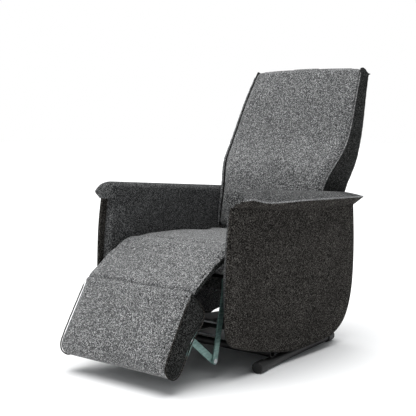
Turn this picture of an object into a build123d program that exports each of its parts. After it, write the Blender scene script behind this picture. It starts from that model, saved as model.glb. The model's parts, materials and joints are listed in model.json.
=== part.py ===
from build123d import *
import math
import os

# Recliner armchair on two floor runners, half reclined, footrest half out.
# Units are millimetres. X is across the chair, -Y is its front, +Z is up, and Z = 0 is the floor.
# "Left" is the sitter's left, on the +X side. The right-hand pieces are its mirror images.

os.makedirs("parts", exist_ok=True)

# ---------------------------------------------------------------- driving dimensions
SEAT_HALF_WIDTH = 251.0          # seat cushion and footrest, between the arms
ARM_INNER_X = 253.5              # inner face of the arm
ARM_SEAM_X = 296.0               # groove between the arm's front strip and its outer panel
PANEL_INNER_X = 296.3
PANEL_OUTER_X = 313.5            # outer face of the arm's side panel
WING_X = 353.5                   # knife edge of the arm pad

BRIDGE_HINGE = (-300.0, 405.0)   # (y, z) where the footrest bridge turns on the seat's front
FOOT_HINGE = (-478.0, 318.0)     # (y, z) knee line between the bridge and the footrest
FOOT_TIP = (-614.0, 96.0)        # (y, z) lower end of the footrest's face
STRAP_TOP = (-285.0, 300.0)      # (y, z) axis of the drive tube, top of the rear straps
ELBOW = (-339.0, 62.0)           # (y, z) where rear and front straps are pinned together
STRAP_END = (-451.5, 153.0)      # (y, z) sliding pin at the footrest bracket
TILT_PIVOT = (0.0, 140.0)        # (y, z) where the seat unit tilts on the base
BACK_HINGE = (340.0, 395.0)      # (y, z) where the back reclines on the seat unit
SPRING_FRONT = (60.0, 215.0)     # (y, z) gas spring's eye on the seat unit
SPRING_REAR = (355.0, 285.0)     # (y, z) gas spring's eye on the back

RUNNER_R = 17.0                  # runner tube, outside
RUNNER_Z = 20.0                  # runner axis above the floor
RUNNER_FRONT = (300.0, -195.0)   # (x, y) axis at the front end
RUNNER_REAR = (242.0, 372.0)     # (x, y) axis at the rear end: the runners toe in to the rear
TUBE_WALL = 2.0
FOOT_R = 21.0
FOOT_LENGTH = 47.0
CROSS_R = 14.0                   # base cross tubes
CROSS_Z = 50.0
CROSS_FRONT_Y = -100.0
CROSS_REAR_Y = 120.0

STRAP_WIDTH = 24.0
STRAP_T = 5.0
REAR_STRAP_X = 222.6             # inner face of the rear strap
FRONT_STRAP_X = 217.0            # inner face of the front strap
BRACKET_X = 211.6                # inner face of the footrest bracket
BRACKET_T = 4.5
SIDE_PLATE_X = 228.5             # inner face of the seat side plate
SIDE_PLATE_T = 4.0
EAR_X = 233.0                    # inner face of the base side plate
EAR_T = 5.0
RUN = 0.05                       # radial clearance of a running fit

CUSHION_BOTTOM = 345.0
RAIL_BOTTOM = 316.0
SPRING_Z = 338.0
WIRE_R = 1.9


# ---------------------------------------------------------------- helpers
def finish_piece(piece, name):
    """Labels a finished piece and writes its STEP file."""
    piece.part.label = name
    export_step(piece.part, f"parts/{name}.step")


def finish_pair(piece, name):
    """Writes a left-hand piece and its mirror image for the right."""
    finish_piece(piece, f"{name}_left")
    with BuildPart() as other:
        add(piece.part)
        mirror(about=Plane.YZ, mode=Mode.REPLACE)
    finish_piece(other, f"{name}_right")


def prism(outline, x_low, x_high):
    """A solid whose outline is a polygon of (y, z) points, from x_low to x_high."""
    with BuildPart() as body:
        with BuildSketch(Plane.YZ.offset(x_low)):
            with BuildLine():
                Polyline(*outline, close=True)
            make_face()
        extrude(amount=x_high - x_low)
    return body


def rod(centre, radius, x_low, x_high):
    """A round bar along X through a (y, z) point."""
    with BuildPart() as body:
        with BuildSketch(Plane.YZ.offset(x_low)):
            with Locations(centre):
                Circle(radius)
        extrude(amount=x_high - x_low)
    return body


def strap(start, end, width, x_low, thickness, start_r, end_r):
    """A flat strap with round ends and a hole at each end, between two (y, z) points."""
    run = (end[0] - start[0], end[1] - start[1])
    middle = ((start[0] + end[0]) / 2, (start[1] + end[1]) / 2)
    angle = math.degrees(math.atan2(run[1], run[0]))
    with BuildPart() as body:
        with BuildSketch(Plane.YZ.offset(x_low)):
            with Locations(middle):
                SlotCenterToCenter(math.hypot(*run), width, rotation=angle)
            with Locations(start):
                Circle(start_r, mode=Mode.SUBTRACT)
            with Locations(end):
                Circle(end_r, mode=Mode.SUBTRACT)
        extrude(amount=thickness)
    return body


def cut_rods(piece, centres, radius, x_low, x_high):
    """Bores round holes along X through a piece."""
    with BuildPart() as body:
        add(piece.part)
        for centre in centres:
            add(rod(centre, radius, x_low, x_high).part, mode=Mode.SUBTRACT)
    return body


def joined(pieces):
    """Fuses or groups several pieces into one node."""
    with BuildPart() as body:
        for piece in pieces:
            add(piece.part)
    return body


def mirrored_group(piece):
    """A left-hand piece and its mirror image in one node, for fasteners."""
    with BuildPart() as body:
        add(piece.part)
        mirror(about=Plane.YZ)
    return body


def leg(along, depth):
    """(y, z) of a point given along the footrest's face from the knee, and behind the face."""
    run = (FOOT_TIP[0] - FOOT_HINGE[0], FOOT_TIP[1] - FOOT_HINGE[1])
    size = math.hypot(*run)
    ty, tz = run[0] / size, run[1] / size
    return (FOOT_HINGE[0] + along * ty - depth * tz, FOOT_HINGE[1] + along * tz + depth * ty)


# ---------------------------------------------------------------- base
runner_run = Vector(RUNNER_REAR[0] - RUNNER_FRONT[0], RUNNER_REAR[1] - RUNNER_FRONT[1], 0)
runner_length = runner_run.length
runner_plane = Plane(
    origin=(RUNNER_FRONT[0], RUNNER_FRONT[1], RUNNER_Z), x_dir=(0, 0, 1), z_dir=runner_run
)


def runner_x(y):
    """X of the runner's axis at a given y."""
    share = (y - RUNNER_FRONT[1]) / (RUNNER_REAR[1] - RUNNER_FRONT[1])
    return RUNNER_FRONT[0] + share * (RUNNER_REAR[0] - RUNNER_FRONT[0])


with BuildPart() as base_runner:
    with BuildSketch(runner_plane):
        Circle(RUNNER_R)
        Circle(RUNNER_R - TUBE_WALL, mode=Mode.SUBTRACT)
    extrude(amount=runner_length)
finish_pair(base_runner, "base_runner")


def runner_foot(start, direction):
    """A plastic cap on a runner's end: a closed sleeve with a flat where it meets the floor."""
    end_plane = Plane(origin=(start[0], start[1], RUNNER_Z), x_dir=(0, 0, 1), z_dir=direction)
    with BuildPart() as foot:
        with BuildSketch(end_plane.offset(-5)):
            Circle(FOOT_R)
        extrude(amount=FOOT_LENGTH)
        fillet(foot.edges().filter_by(GeomType.CIRCLE), radius=2.5)
        with BuildSketch(end_plane):
            Circle(RUNNER_R)
        extrude(amount=FOOT_LENGTH, mode=Mode.SUBTRACT)
        with Locations((start[0], start[1], -10)):
            Box(200, 200, 20, mode=Mode.SUBTRACT)
    return foot


runner_feet = joined([runner_foot(RUNNER_FRONT, runner_run), runner_foot(RUNNER_REAR, -runner_run)])
finish_piece(mirrored_group(runner_feet), "runner_feet")


def cross_tube(y):
    """A base cross tube, welded into the tops of both runners."""
    reach = runner_x(y) + 6
    with BuildPart() as tube:
        with BuildSketch(Plane.YZ.offset(-reach)):
            with Locations((y, CROSS_Z)):
                Circle(CROSS_R)
                Circle(CROSS_R - TUBE_WALL, mode=Mode.SUBTRACT)
        extrude(amount=2 * reach)
    return tube


finish_piece(cross_tube(CROSS_FRONT_Y), "base_cross_tube_front")
finish_piece(cross_tube(CROSS_REAR_Y), "base_cross_tube_rear")

ear = prism(
    [
        (-122, 44), (300, 44), (300, 66), (142, 78), (24, 140), (14, 158),
        (-14, 158), (-24, 140), (-122, 62),
    ],
    EAR_X, EAR_X + EAR_T,
)
ear = cut_rods(ear, [(CROSS_FRONT_Y, CROSS_Z), (CROSS_REAR_Y, CROSS_Z)], CROSS_R, EAR_X - 1, EAR_X + 9)
ear = cut_rods(ear, [TILT_PIVOT], 8, EAR_X - 1, EAR_X + 9)
finish_pair(ear, "base_side_plate")

tilt_bolt = joined([
    rod(TILT_PIVOT, 8, SIDE_PLATE_X - 3, EAR_X + EAR_T),
    rod(TILT_PIVOT, 12, EAR_X + EAR_T, EAR_X + EAR_T + 6),
])
finish_piece(mirrored_group(tilt_bolt), "tilt_bolts")

# ---------------------------------------------------------------- seat unit: steel
BUSH_R = 11.0
DRIVE_STUB_R = 7.0
HINGE_PIN_R = 6.0
side_plate = prism(
    [
        (-304, 340), (-306, 286), (-270, 279), (-70, 262), (-24, 150), (-16, 122), (16, 122),
        (24, 150), (70, 262), (262, 284), (360, 376), (362, 402), (346, 412), (328, 408), (262, 342),
    ],
    SIDE_PLATE_X, SIDE_PLATE_X + SIDE_PLATE_T,
)
arm_bolt_places = [(-180, 308), (-20, 308), (195, 308)]
ARM_BOLT_R = 5.0
side_plate = cut_rods(side_plate, [TILT_PIVOT], BUSH_R, SIDE_PLATE_X - 1, SIDE_PLATE_X + 9)
side_plate = cut_rods(side_plate, [STRAP_TOP], DRIVE_STUB_R + RUN, SIDE_PLATE_X - 1, SIDE_PLATE_X + 9)
side_plate = cut_rods(side_plate, [BACK_HINGE], HINGE_PIN_R, SIDE_PLATE_X - 1, SIDE_PLATE_X + 9)
side_plate = cut_rods(side_plate, arm_bolt_places, ARM_BOLT_R, SIDE_PLATE_X - 1, SIDE_PLATE_X + 9)
finish_pair(side_plate, "seat_side_plate")

with BuildPart() as tilt_bush:
    with BuildSketch(Plane.YZ.offset(SIDE_PLATE_X)):
        with Locations(TILT_PIVOT):
            Circle(BUSH_R)
            Circle(8 + RUN, mode=Mode.SUBTRACT)
    extrude(amount=SIDE_PLATE_T)
finish_piece(mirrored_group(tilt_bush), "tilt_bushes")

hinge_pin = joined([
    rod(BACK_HINGE, HINGE_PIN_R, SIDE_PLATE_X - 7, SIDE_PLATE_X + SIDE_PLATE_T),
    rod(BACK_HINGE, 10, SIDE_PLATE_X + SIDE_PLATE_T, SIDE_PLATE_X + SIDE_PLATE_T + 4),
])
finish_piece(mirrored_group(hinge_pin), "back_hinge_pins")


def box_tube(y_low, y_high, z_low, z_high, half_length, wall):
    """A rectangular steel tube along X."""
    with BuildPart() as tube:
        with BuildSketch(Plane.YZ.offset(-half_length)):
            with Locations(((y_low + y_high) / 2, (z_low + z_high) / 2)):
                Rectangle(y_high - y_low, z_high - z_low)
                Rectangle(y_high - y_low - 2 * wall, z_high - z_low - 2 * wall, mode=Mode.SUBTRACT)
        extrude(amount=2 * half_length)
    return tube


finish_piece(box_tube(-310, -280, RAIL_BOTTOM, 343, SIDE_PLATE_X, 2), "seat_front_rail")
finish_piece(box_tube(222, 258, 300, 336, SIDE_PLATE_X, 2), "seat_rear_rail")


def wave_wire(start, end, amplitude, waves, across, radius):
    """A sinuous spring wire between two 3-D points, waving along a given direction."""
    run = Vector(end) - Vector(start)
    points = []
    for step in range(2 * waves + 1):
        side = 0 if step in (0, 2 * waves) else (1 if step % 2 else -1)
        points.append(Vector(start) + run * (step / (2 * waves)) + Vector(across) * (side * amplitude))
    with BuildPart() as wire:
        with BuildLine() as path:
            Polyline(*points)
        with BuildSketch(Plane(origin=path.line @ 0, z_dir=path.line % 0)):
            Circle(radius)
        sweep(path=path.line, transition=Transition.ROUND)
    return wire


spring_xs = [-160, -80, 0, 80, 160]
seat_wires = [
    wave_wire((x, -276.6, SPRING_Z), (x, 218.6, SPRING_Z), 22, 8, (1, 0, 0), WIRE_R) for x in spring_xs
]
finish_piece(joined(seat_wires), "seat_springs")

with BuildPart() as seat_spring_clips:
    with Locations(*[(x, y, SPRING_Z) for x in spring_xs for y in (-279.1, 221.1)]):
        Box(16, 1.6, 9)
finish_piece(seat_spring_clips, "seat_spring_clips")

spring_lug = prism([(51, 206), (66, 206), (68, 298), (44, 298)], -4, 4)
spring_lug = cut_rods(spring_lug, [SPRING_FRONT], 4 + RUN, -9, 9)
spring_beam = box_tube(36, 84, 298, 310, SIDE_PLATE_X, 2)
finish_piece(joined([spring_lug, spring_beam]), "gas_spring_beam")

with BuildPart() as dust_cover:
    with Locations((0, 129, 297)):
        Box(2 * SIDE_PLATE_X - 4, 86, 1.2)
    with Locations((0, -117, 297)):
        Box(2 * SIDE_PLATE_X - 4, 300, 1.2)
finish_piece(dust_cover, "dust_cover")

# ---------------------------------------------------------------- seat unit: soft parts
CUSHION_ROLL_R = 23.6
with BuildPart() as seat_cushion:
    with BuildSketch(Plane.YZ.offset(-SEAT_HALF_WIDTH)):
        with BuildLine():
            top = Spline(
                (BRIDGE_HINGE[0], BRIDGE_HINGE[1] + CUSHION_ROLL_R), (-235, 441), (-140, 448),
                (30, 441), (240, 425), tangents=((1, 0.2), (1, -0.08)),
            )
            ThreePointArc(
                top @ 0, (BRIDGE_HINGE[0] - CUSHION_ROLL_R, BRIDGE_HINGE[1]),
                (BRIDGE_HINGE[0], BRIDGE_HINGE[1] - CUSHION_ROLL_R),
            )
            Polyline(
                (BRIDGE_HINGE[0], BRIDGE_HINGE[1] - CUSHION_ROLL_R), (-300, CUSHION_BOTTOM),
                (236, CUSHION_BOTTOM), top @ 1,
            )
        make_face()
    extrude(amount=2 * SEAT_HALF_WIDTH)
finish_piece(seat_cushion, "seat_cushion")

front_apron = prism([(-312.6, 302), (-310.4, 302), (-310.4, 343), (-312.6, 343)], -226, 226)
finish_piece(front_apron, "front_apron")

with BuildPart() as apron_clips:
    with Locations(*[(x, -311.5, 299) for x in range(-210, 211, 14)]):
        Box(5, 5, 4)
finish_piece(apron_clips, "apron_clips")

finish_piece(prism([(406, 74), (419, 74), (419, 358), (406, 358)], -252, 252), "rear_lower_panel")

# ---------------------------------------------------------------- arms
# (y, z) stations of the line where the arm pad sits on the side panel, front to rear
PAD_BOTTOM = [(-352, 594), (-300, 586), (-216, 576), (-86, 563), (106, 551), (319, 546), (428, 547)]
pad_seat = list(reversed(PAD_BOTTOM))


def arm_outline(front, corner, bottom, rear):
    """The arm's side outline: a leaning front, a boat-shaped bottom and a round rear corner."""
    with BuildSketch() as sketch:
        with BuildLine():
            edge = ThreePointArc(*front)
            turn = ThreePointArc(edge @ 1, *corner)
            under = Spline(turn @ 1, *bottom, rear[0], tangents=((1, -0.45), (1, 0.12)))
            heel = Spline(under @ 1, *rear[1:], tangents=((1, 0.12), (-0.05, 1)))
            Polyline(heel @ 1, *pad_seat[1:-1], edge @ 0)
        make_face()
    return sketch.sketch


outer_outline = arm_outline(
    [(-353, 593), (-377, 388), (-387, 187)],
    [(-377, 152), (-348, 127)],
    [(-204, 80), (25, 38), (164, 38)],
    [(283, 48), (372, 98), (424, 210), (437, 370), (427, 546)],
)
inner_outline = arm_outline(
    [(-334, 591), (-354, 440), (-362, 205)],
    [(-352, 168), (-325, 145)],
    [(-200, 106), (25, 83)],
    [(250, 80), (352, 112), (394, 206), (408, 370), (404, 546)],
)
frame_outline = arm_outline(
    [(-312, 588), (-330, 440), (-340, 240)],
    [(-330, 205), (-305, 182)],
    [(-200, 146), (25, 122)],
    [(240, 122), (340, 156), (374, 240), (384, 370), (382, 546)],
)
pocket_outline = arm_outline(
    [(-317, 588.4), (-335, 440), (-345, 236)],
    [(-335, 200), (-307, 177)],
    [(-200, 141), (25, 117)],
    [(242, 117), (344, 151), (379, 238), (389, 370), (387, 546)],
)

FRAME_INNER_X = 276.0
with BuildPart() as arm_outer_panel:
    with BuildSketch(Plane.YZ.offset(PANEL_INNER_X)):
        add(outer_outline)
    extrude(amount=PANEL_OUTER_X - PANEL_INNER_X)
finish_pair(arm_outer_panel, "arm_outer_panel")

with BuildPart() as arm_cover:
    with BuildSketch(Plane.YZ.offset(ARM_INNER_X)):
        add(inner_outline)
    extrude(amount=ARM_SEAM_X - ARM_INNER_X)
    with BuildSketch(Plane.YZ.offset(FRAME_INNER_X - 0.3)):
        add(pocket_outline)
    extrude(amount=ARM_SEAM_X - FRAME_INNER_X + 1, mode=Mode.SUBTRACT)
arm_cover = cut_rods(arm_cover, arm_bolt_places, ARM_BOLT_R + 0.5, ARM_INNER_X - 1, 290)
finish_pair(arm_cover, "arm_cover")

with BuildPart() as arm_frame:
    with BuildSketch(Plane.YZ.offset(FRAME_INNER_X)):
        add(frame_outline)
    extrude(amount=18)
arm_frame = cut_rods(arm_frame, arm_bolt_places, ARM_BOLT_R, FRAME_INNER_X - 1, FRAME_INNER_X + 14)
finish_pair(arm_frame, "arm_frame")

arm_bolts = joined(
    [rod(place, ARM_BOLT_R, SIDE_PLATE_X, FRAME_INNER_X + 12) for place in arm_bolt_places]
    + [rod(place, 9, SIDE_PLATE_X - 3.5, SIDE_PLATE_X) for place in arm_bolt_places]
    + [rod(place, 9, SIDE_PLATE_X + SIDE_PLATE_T, ARM_INNER_X) for place in arm_bolt_places]
)
finish_piece(mirrored_group(arm_bolts), "arm_bolts")


def pad_top(y):
    """Height of the arm pad's crown: it slopes down to the rear and rounds over at the front."""
    return 625 - 0.075 * y


# one row per cross-section of the arm pad: y, crown height, knife-edge x and z, bottom z
pad_sections = [
    (-353, 612, 318, 604, 594.5),
    (-338, pad_top(-338) - 14, 352, 614, 592),
    (-312, pad_top(-312) - 3, WING_X, 612, 588),
    (-216, pad_top(-216), WING_X, 600, 576),
    (106, pad_top(106), WING_X, 590, 551),
    (319, pad_top(319), WING_X, 583, 546),
    (412, pad_top(412) - 3, WING_X, 579, 547),
    (484, 580, 316, 573, 562),
]
with BuildPart() as arm_pad:
    for y, crown, edge_x, edge_z, bottom in pad_sections:
        with BuildSketch(Plane(origin=(0, y, 0), x_dir=(1, 0, 0), z_dir=(0, -1, 0))):
            with BuildLine():
                Polyline(
                    (ARM_INNER_X, bottom), (ARM_INNER_X, crown - 10), (ARM_INNER_X + 10, crown - 1.5),
                    (ARM_INNER_X + 34, crown), (edge_x, edge_z + 1), (edge_x - 1, edge_z - 3),
                    (PANEL_OUTER_X, bottom), close=True,
                )
            make_face()
    loft(ruled=True)
finish_pair(arm_pad, "arm_pad")

# ---------------------------------------------------------------- footrest linkage
drive_tube = joined([
    rod(STRAP_TOP, 11, -(REAR_STRAP_X - 0.2), REAR_STRAP_X - 0.2),
    rod(STRAP_TOP, DRIVE_STUB_R, -(SIDE_PLATE_X + 8), SIDE_PLATE_X + 8),
])
finish_piece(drive_tube, "drive_tube")

rear_strap = strap(STRAP_TOP, ELBOW, STRAP_WIDTH, REAR_STRAP_X, STRAP_T, DRIVE_STUB_R, 5 + RUN)
finish_pair(rear_strap, "rear_strap")


def along_rear_strap(share):
    """(y, z) of a point on the rear strap's centre line, from the elbow up."""
    return (
        ELBOW[0] + share * (STRAP_TOP[0] - ELBOW[0]),
        ELBOW[1] + share * (STRAP_TOP[1] - ELBOW[1]),
    )


strap_lean = math.degrees(math.atan2(STRAP_TOP[1] - ELBOW[1], STRAP_TOP[0] - ELBOW[0]))
with BuildPart() as strap_cross_bar:
    with BuildSketch(Plane.YZ.offset(-REAR_STRAP_X)):
        with Locations(along_rear_strap(0.345)):
            Rectangle(6, 22, rotation=strap_lean)
    extrude(amount=2 * REAR_STRAP_X)
finish_piece(strap_cross_bar, "strap_cross_bar")
finish_piece(rod(along_rear_strap(0.53), 6.5, -REAR_STRAP_X, REAR_STRAP_X), "strap_tie_rod")

front_strap = strap(ELBOW, STRAP_END, STRAP_WIDTH, FRONT_STRAP_X, STRAP_T, 5, 5)
finish_pair(front_strap, "front_strap")
elbow_pin = joined([
    rod(ELBOW, 5, FRONT_STRAP_X, REAR_STRAP_X + STRAP_T + 2),
    rod(ELBOW, 8, FRONT_STRAP_X - 3, FRONT_STRAP_X),
    rod(ELBOW, 8, REAR_STRAP_X + STRAP_T + 0.2, REAR_STRAP_X + STRAP_T + 2.4),
])
finish_piece(mirrored_group(elbow_pin), "elbow_pins")
slide_pin = joined([
    rod(STRAP_END, 5, BRACKET_X - 1, FRONT_STRAP_X + STRAP_T),
    rod(STRAP_END, 9, BRACKET_X - 3.5, BRACKET_X - 0.6),
])
finish_piece(mirrored_group(slide_pin), "slide_pins")

# ---------------------------------------------------------------- bridge and footrest
BRIDGE_GAP_R = 24.2
with BuildPart() as bridge_pad:
    with BuildSketch(Plane.YZ.offset(-SEAT_HALF_WIDTH)):
        with BuildLine():
            top = Spline(
                (-307, 428), (-330, 418), (-371, 394), (-422, 358), FOOT_HINGE,
            )
            Polyline(top @ 1, (-440, 312), (-370, 352), (-322, 377), (-300, 384), (-307, 428))
        make_face()
    extrude(amount=2 * SEAT_HALF_WIDTH)
    with BuildSketch(Plane.YZ.offset(-SEAT_HALF_WIDTH)):
        with Locations(BRIDGE_HINGE):
            Circle(BRIDGE_GAP_R)
    extrude(amount=2 * SEAT_HALF_WIDTH, mode=Mode.SUBTRACT)
finish_piece(bridge_pad, "bridge_pad")

BOARD_FRONT = 72.0
BOARD_REAR = 84.0
with BuildPart() as footrest_cushion:
    with BuildSketch(Plane.YZ.offset(-SEAT_HALF_WIDTH)):
        with BuildLine():
            knee = leg(1.0, 1.0)
            face = Spline(knee, leg(60, -4), leg(150, -5), leg(245, 2))
            tip = Spline(
                face @ 1, leg(268, 16), leg(279, 45), leg(277, 66), leg(255, 78), leg(236, 83),
                tangents=(face % 1, Vector(0.5, 1).normalized()),
            )
            back = Line(tip @ 1, leg(176, 84.2))
            bulge = Spline(
                back @ 1, leg(107, 91), leg(70, 101), leg(44, 101), leg(22, 80), leg(8, 40),
                tangents=(back % 1, Vector(-0.5, 0.6).normalized()),
            )
            Line(bulge @ 1, knee)
        make_face()
    extrude(amount=2 * SEAT_HALF_WIDTH)
    with BuildSketch(Plane.YZ.offset(-225)):
        with BuildLine():
            Polyline(leg(69.7, 71.7), leg(235.3, 71.7), leg(235.3, 130), leg(69.7, 130), close=True)
        make_face()
    extrude(amount=450, mode=Mode.SUBTRACT)
finish_piece(footrest_cushion, "footrest_cushion")
footrest_board = prism(
    [leg(70, BOARD_FRONT), leg(235, BOARD_FRONT), leg(235, BOARD_REAR), leg(70, BOARD_REAR)], -224.5, 224.5
)
finish_piece(footrest_board, "footrest_board")

SLOT_ALONG = 127.0
SLOT_DEPTH = 108.8
foot_lean = math.degrees(math.atan2(FOOT_TIP[1] - FOOT_HINGE[1], FOOT_TIP[0] - FOOT_HINGE[0]))
with BuildPart() as footrest_bracket:
    with BuildSketch(Plane.YZ.offset(BRACKET_X)):
        with BuildLine():
            Polyline(leg(76, 84.1), leg(180, 84.1), leg(176, 124), leg(80, 124), close=True)
        make_face()
        with Locations(leg(SLOT_ALONG, SLOT_DEPTH)):
            SlotCenterToCenter(58, 13, rotation=foot_lean, mode=Mode.SUBTRACT)
    extrude(amount=BRACKET_T)
    with BuildSketch(Plane.YZ.offset(BRACKET_X - 20)):
        with BuildLine():
            Polyline(leg(76, 84.1), leg(180, 84.1), leg(180, 87.1), leg(76, 87.1), close=True)
        make_face()
    extrude(amount=20)
finish_pair(footrest_bracket, "footrest_bracket")


# ---------------------------------------------------------------- back
# one row per height of the back: z, front y, rear y, half width
BACK_STATIONS = [
    (432, 262, 420, 250.5),
    (520, 276, 446, 250.5),
    (612, 296, 474, 251.5),
    (665, 318, 492, 265),
    (712, 348, 500, 279),
    (762, 388, 508, 287),
    (860, 445, 538, 286),
    (960, 492, 572, 277),
    (1092, 560, 624, 261),
]
FRONT_SHARE = 0.55               # share of the back's depth that the front cushion takes
SIDE_SKIN = 9.0                  # thickness of the boxed side panels


def back_slab(front_share, rear_share, front_extra=0.0, rear_extra=0.0):
    """The back between two shares of its depth, as a side profile carried across."""
    front = [(f + front_share * (r - f) + front_extra, z) for z, f, r, _ in BACK_STATIONS]
    rear = [(f + rear_share * (r - f) + rear_extra, z) for z, f, r, _ in BACK_STATIONS]
    with BuildPart() as slab:
        with BuildSketch(Plane.YZ.offset(-300)):
            with BuildLine():
                face = Spline(*front)
                lid = Line(face @ 1, rear[-1])
                spine = Spline(*reversed(rear))
                Line(spine @ 1, face @ 0)
            make_face()
        extrude(amount=600)
    return slab


def shield(inset, z_inset=0.0):
    """The back's outline seen from the front, carried through its depth."""
    half = [(w - inset, z) for z, _, _, w in BACK_STATIONS]
    half[0] = (half[0][0], half[0][1] + z_inset)
    half[-1] = (half[-1][0], half[-1][1] - z_inset)
    with BuildPart() as body:
        with BuildSketch(Plane.XZ.offset(-800)):
            with BuildLine():
                side = Spline(*half[2:])
                lower = Polyline(half[0], half[1], half[2])
                other = Spline(*[(-x, z) for x, z in reversed(half[2:])])
                crown = ThreePointArc(side @ 1, (0, half[-1][1] + 7), other @ 0)
                Polyline(other @ 1, (-half[1][0], half[1][1]), (-half[0][0], half[0][1]), half[0])
            make_face()
        extrude(amount=700)
    return body


with BuildPart() as back_cushion:
    add(back_slab(0, FRONT_SHARE).part)
    add(shield(0).part, mode=Mode.INTERSECT)
finish_piece(back_cushion, "back_cushion")

# the frame lies on a straight line that leans with the back
FRAME_LOW = (384.0, 434.0)
FRAME_HIGH = (573.0, 1020.0)
frame_run = Vector(0, FRAME_HIGH[0] - FRAME_LOW[0], FRAME_HIGH[1] - FRAME_LOW[1])
frame_length = frame_run.length
frame_plane = Plane(origin=(0, *FRAME_LOW), x_dir=(1, 0, 0), z_dir=frame_run)
BAR = 20.0


def frame_box(x_low, x_high, depth_low, depth_high, up_low, up_high):
    """A box in the back frame's own plane: across, through its depth, and up along it."""
    with BuildPart() as body:
        with BuildSketch(frame_plane.offset(up_low)):
            with Locations(((x_low + x_high) / 2, (depth_low + depth_high) / 2)):
                Rectangle(x_high - x_low, depth_high - depth_low)
        extrude(amount=up_high - up_low)
    return body


with BuildPart() as back_rear_panel:
    add(back_slab(FRONT_SHARE, 1, front_extra=0.3).part)
    add(shield(SIDE_SKIN + 0.3, 0).part, mode=Mode.INTERSECT)
    add(frame_box(-238, 238, -160, BAR / 2 + 1, -30, frame_length + 4).part, mode=Mode.SUBTRACT)
finish_piece(back_rear_panel, "back_rear_panel")

with BuildPart() as back_sides:
    add(back_slab(FRONT_SHARE, 1, front_extra=0.3).part)
    add(shield(0).part, mode=Mode.INTERSECT)
    add(shield(SIDE_SKIN, 0).part, mode=Mode.SUBTRACT)
with BuildPart() as back_side_panel:
    add(back_sides.part)
    with Locations((-400, 500, 760)):
        Box(800 + 2 * 180, 700, 1200, mode=Mode.SUBTRACT)
finish_pair(back_side_panel, "back_side_panel")

finish_pair(frame_box(196, 221.5, -BAR / 2, BAR / 2, 0, frame_length), "back_upright")
finish_piece(frame_box(-196, 196, -BAR / 2, BAR / 2, frame_length - 30, frame_length), "back_top_rail")
finish_piece(frame_box(-196, 196, -BAR / 2, BAR / 2, 0, 30), "back_bottom_rail")

back_wires = []
for share in (0.2, 0.34, 0.48, 0.62, 0.76):
    centre = frame_plane.origin + frame_plane.z_dir * (share * frame_length)
    left_end = Vector(194, centre.Y, centre.Z)
    right_end = Vector(-194, centre.Y, centre.Z)
    back_wires.append(wave_wire(left_end, right_end, 16, 7, frame_plane.z_dir, WIRE_R))
finish_piece(joined(back_wires), "back_springs")

hinge_plate = prism(
    [(328, 384), (352, 384), (392, 430), (422, 536), (402, 544), (370, 440), (330, 408)],
    SIDE_PLATE_X - 6.7, SIDE_PLATE_X - 2.7,
)
hinge_plate = cut_rods(hinge_plate, [BACK_HINGE], HINGE_PIN_R + RUN, 200, 240)
finish_pair(hinge_plate, "back_hinge_plate")

back_lug = prism([(345, 272), (366, 272), (392, 424), (368, 424)], -4, 4)
finish_piece(joined([back_lug, rod(SPRING_REAR, 4, -12, 12)]), "back_spring_lug")

# ---------------------------------------------------------------- recline gas spring
spring_run = Vector(0, SPRING_REAR[0] - SPRING_FRONT[0], SPRING_REAR[1] - SPRING_FRONT[1])
spring_plane = Plane(origin=(0, *SPRING_FRONT), x_dir=(1, 0, 0), z_dir=spring_run)
spring_lean = math.degrees(math.atan2(spring_run.Z, spring_run.Y))
CYLINDER_END = 190.0
with BuildPart() as gas_cylinder:
    with BuildSketch(spring_plane.offset(24)):
        Circle(11)
        Circle(4.05, mode=Mode.SUBTRACT)
    extrude(amount=CYLINDER_END - 24)
    with BuildSketch(spring_plane.offset(14)):
        Circle(11)
    extrude(amount=10)
    with BuildSketch(spring_plane.offset(36)):
        Circle(8.5)
    extrude(amount=CYLINDER_END - 36 - 6, mode=Mode.SUBTRACT)
    with BuildSketch(spring_plane.offset(-10)):
        with Locations((7.2, 0), (-7.2, 0)):
            Rectangle(4, 18)
    extrude(amount=24)
finish_piece(joined([gas_cylinder, rod(SPRING_FRONT, 4, -12, 12)]), "gas_spring_cylinder")

reach = spring_run.length
with BuildPart() as gas_rod:
    with BuildSketch(spring_plane.offset(110)):
        Circle(4)
    extrude(amount=reach - 18 - 110)
    with BuildSketch(spring_plane.offset(102)):
        Circle(8.4)
    extrude(amount=8)
    with BuildSketch(spring_plane.offset(reach - 26)):
        Circle(9)
    extrude(amount=8)
    with BuildSketch(spring_plane.offset(reach - 18)):
        with Locations((7.4, 0), (-7.4, 0)):
            Rectangle(4, 30)
    extrude(amount=32)
    with BuildSketch(Plane.YZ.offset(-12)):
        with Locations(SPRING_REAR):
            SlotCenterToCenter(12, 11, rotation=90 + spring_lean, mode=Mode.ADD)
    extrude(amount=24, mode=Mode.SUBTRACT)
finish_piece(gas_rod, "gas_spring_rod")
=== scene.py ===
# %% [markdown]
# A recliner armchair in a chunky two-tone tweed, with darker copies of the cloth as painted shade on its
# arms, sides and back.
#
# The imported CAD part is the fixed frame: steel base, seat mechanism, recline spring and
# footrest straps keep their CAD shape and only get finishes here. Everything upholstered
# is modelled again as sewn fabric over foam, in the place its plain CAD solid holds.

import json
import math

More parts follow.
